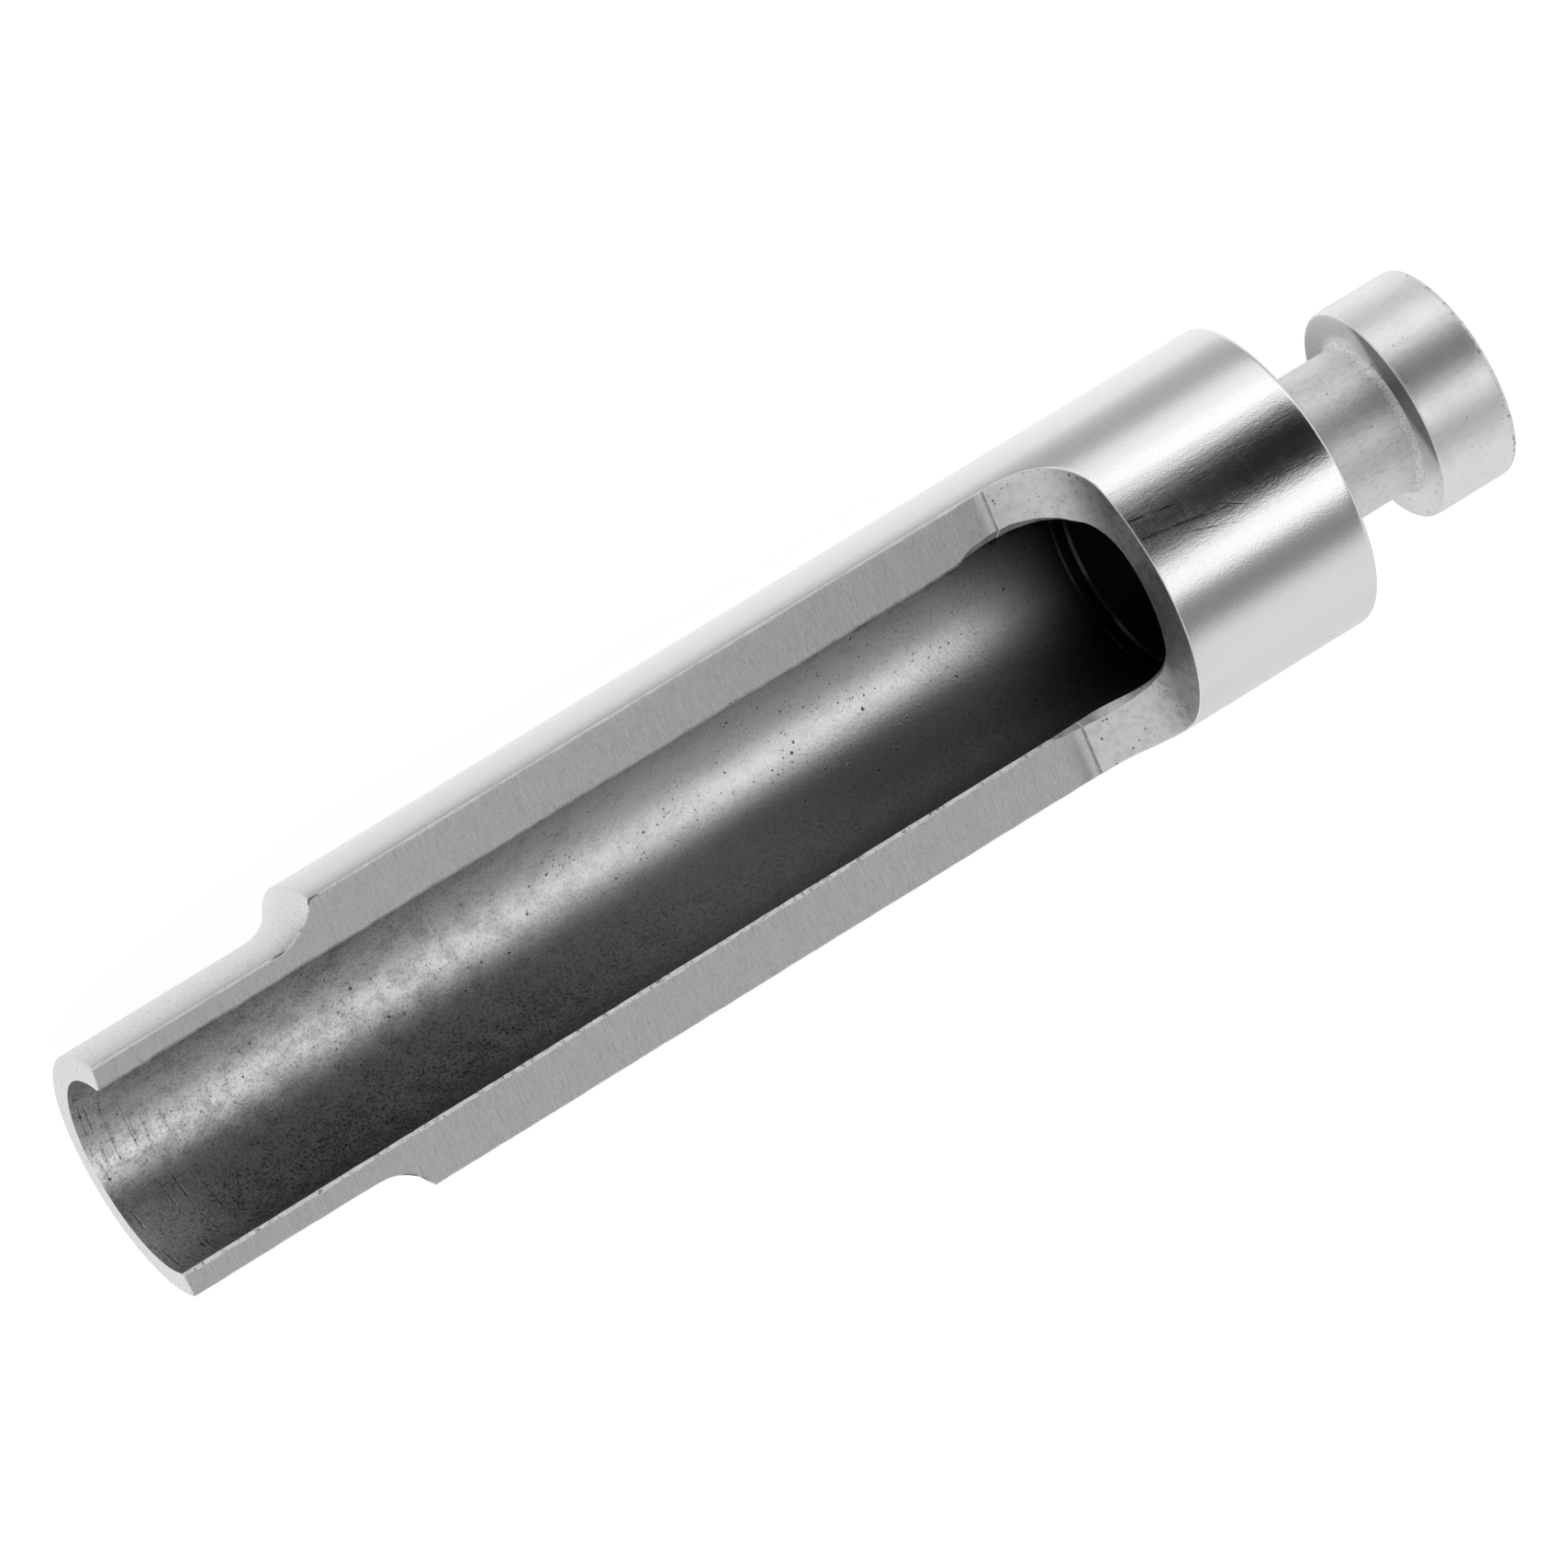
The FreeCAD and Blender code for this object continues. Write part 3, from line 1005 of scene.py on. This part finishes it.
reamer_rings = bore.ease(bore.noise(9.0, 0.22, shift=8.0), 0.56, 0.64)
near_nose = bore.ease(x_bore, nose_tip_x - 6.0, nose_tip_x - 1.0)
ring_patches = bore.ease(bore.noise(0.9, 0.55, shift=4.0), 0.46, 0.60)
ring_mask = bore.times(near_nose, ring_patches, reamer_rings)
stop_rings = bore.total(
    (1.0, bore.band(x_bore, 18.45, 18.52, 0.05)), (0.8, bore.band(x_bore, 17.80, 17.90, 0.04)))
stop_patches = bore.ease(bore.noise(0.35, 0.35, shift=2.0), 0.40, 0.6, 0.02, 0.15)

from_bottom = bore.math("ABSOLUTE", bore.math("SUBTRACT", y_bore, 0.4))
# Painted shade: the walls go darker away from the bottom strip, less near the nose
painted_side_shade = bore.times(bore.ease(from_bottom, 1.0, 4.3), bore.total((-0.35, near_nose), (1.0, 1.0)))
# Painted shade: almost black towards the blind end of the hole
blind_end_shade = bore.ease(x_bore, bore_end_x, 25.2, 1.0, 0.0)
clouds = bore.times(bore.ease(blotch, 0.42, 0.64), bore.ease(from_bottom, 1.5, 3.5, 1.0, 0.3))
worn = bore.ease(x_bore, 36.0, 58.0)
near_runout = bore.times(bore.ease(x_bore, 26.0, 36.0, 1.0, 0.0), bore.ease(y_bore, -1.0, -3.5))
bore_dirt_and_shade = bore.total(
    (0.07, clouds), (0.24, specks), (0.20, bore.times(clouds, worn)), (0.28, bore.times(specks, worn)),
    (0.68, painted_side_shade), (0.40, ring_mask), (0.55, bore.times(bore.ease(blotch, 0.44, 0.60), near_runout)))
both_pits = bore.math("MINIMUM", bore.total((0.8, small_pits), (0.85, large_pits)), 0.9)
bore.colour(
    steel(0.99), (grey(0.05), bore.math("MINIMUM", bore_dirt_and_shade, 1.0)), (grey(0.02), both_pits),
    (grey(0.008), blind_end_shade), (steel(0.88), bore.times(stop_rings, stop_patches)))
bore.roughness(bore.total(
    (0.10, blotch), (0.18, grit), (-0.05, near_nose), (0.15, blind_end_shade),
    (-0.045, bore.band(x_bore, 28.0, 36.0, 6.0)), (0.27, 1.0)))
bore.relief(bore.total(
    (1.5, grit), (0.7, blotch), (-1.5, ring_mask), (-1.3, small_pits), (-1.5, large_pits)), 10.0)

# %% [markdown]
# The nose's end face is the cutting face, ground square and fairly clean.

# %% Nose face
face = Finish("nose_face")
face_grain = face.noise(6.0, 6.0, 4.0, roughness=0.65)
face_pits = face.pits(4.0, 0.25, 0.12)
face.colour(steel(0.77), (STAIN_AND_SHADE, face.total((0.16, face.ease(face_grain, 0.45, 0.75)), (0.5, face_pits))))
face.roughness(face.total((0.2, face_grain), (0.30, 1.0)))
face.relief(face_grain, 6.0)

# %% [markdown]
# Head and neck are only turned. A turning tool leaves rings, and rings blur a
# reflection square to themselves only. The shader's anisotropy does that, with its
# tangent running round the axis. So the rim keeps soft bands along the punch. The
# neck is torn and dull, with painted shade, broken up by grain, in the corner at its root.

# %% Turned head and neck


def turned_steel(name, level, base_roughness, anisotropy, grain_share, shift):
    """Satin turned steel with rings, faint clouds and specks."""
    made = Finish(name)
    made.along_rings(anisotropy)
    rings_fine = made.noise(11.0, 0.2, 1.0, shift=shift)
    cloud = made.noise(1.0, 1.0, 4.0, roughness=0.55, shift=shift + 4.0)
    dull_grain = made.noise(10.0, 10.0, 3.0, roughness=0.65, shift=shift + 6.0)
    torn = made.noise(2.0, 9.0, 3.0, roughness=0.6, shift=shift + 3.0)
    dots = made.pits(5.0, 0.24, 0.04, shift=shift)
    at_root = made.band(made.millimetres()[0], head_length + 0.02, head_length + 0.5, 0.1)
    # Painted shade in the corner at the neck's root, broken up by grain
    painted_root_shade = made.times(at_root, made.ease(dull_grain, 0.45, 0.65))
    made.colour(steel(level), (STAIN_AND_SHADE, made.total(
        (0.5, dots), (0.05, made.ease(cloud, 0.40, 0.75)), (0.2, painted_root_shade),
        (grain_share, made.ease(dull_grain, 0.45, 0.75)), (grain_share, made.ease(torn, 0.48, 0.72)))))
    made.roughness(made.total((0.10, rings_fine), (0.04, cloud), (0.06, dull_grain), (base_roughness, 1.0)))
    made.relief(made.total(
        (1.0, rings_fine), (0.8, dull_grain), (4.0 * grain_share, torn), (2.0, cloud), (-1.0, dots)), 6.0)


turned_steel("turned_head", 0.94, base_roughness=0.37, anisotropy=0.5, grain_share=0.08, shift=1.0)
turned_steel("turned_neck", 0.88, base_roughness=0.46, anisotropy=0.35, grain_share=0.18, shift=7.0)

# %% [markdown]
# The inner face of the head is a facing cut: its rings lie in a plane, one inside the
# other, so their pattern follows the radius. It shows a dark crescent where the rings
# mirror the shoulder, and the base colour paints that crescent in too, darker towards
# its outer edge: a painted reflection. The last of the fillet is darker as painted shade.

# %% Faced ring of the head
faced = Finish("faced_head")
faced.along_rings(0.88)
x_face, y_face, z_face = faced.millimetres()
face_rings = faced.rings_by_radius(9.0)
faced_grain = faced.noise(8.0, 8.0, 3.0, roughness=0.65, shift=3.0)
faced_specks = faced.pits(3.6, 0.26, 0.07, shift=6.0)
# Painted reflection: the dark crescent where the face mirrors the shoulder
painted_crescent = faced.ease(faced.total((-0.5, y_face), (0.866, z_face)), 3.2, 3.9)
inside_corner = faced.ease(x_face, head_length - 0.20, head_length - 0.04)
# Painted shade on the last of the fillet
painted_fillet_shade = faced.ease(x_face, head_length + 0.02, head_length + 0.15)
face_stain_and_shade = faced.total((0.16, faced.ease(faced_grain, 0.45, 0.7)), (0.6, faced_specks), (0.28, painted_fillet_shade))
faced.colour(steel(0.74), (grey(0.04), faced.times(painted_crescent, inside_corner, 0.66)), (STAIN_AND_SHADE, face_stain_and_shade))
faced.roughness(faced.total((0.10, face_rings), (0.30, 1.0)))
faced.relief(faced.total((1.0, face_rings), (0.5, faced_grain)), 4.0)
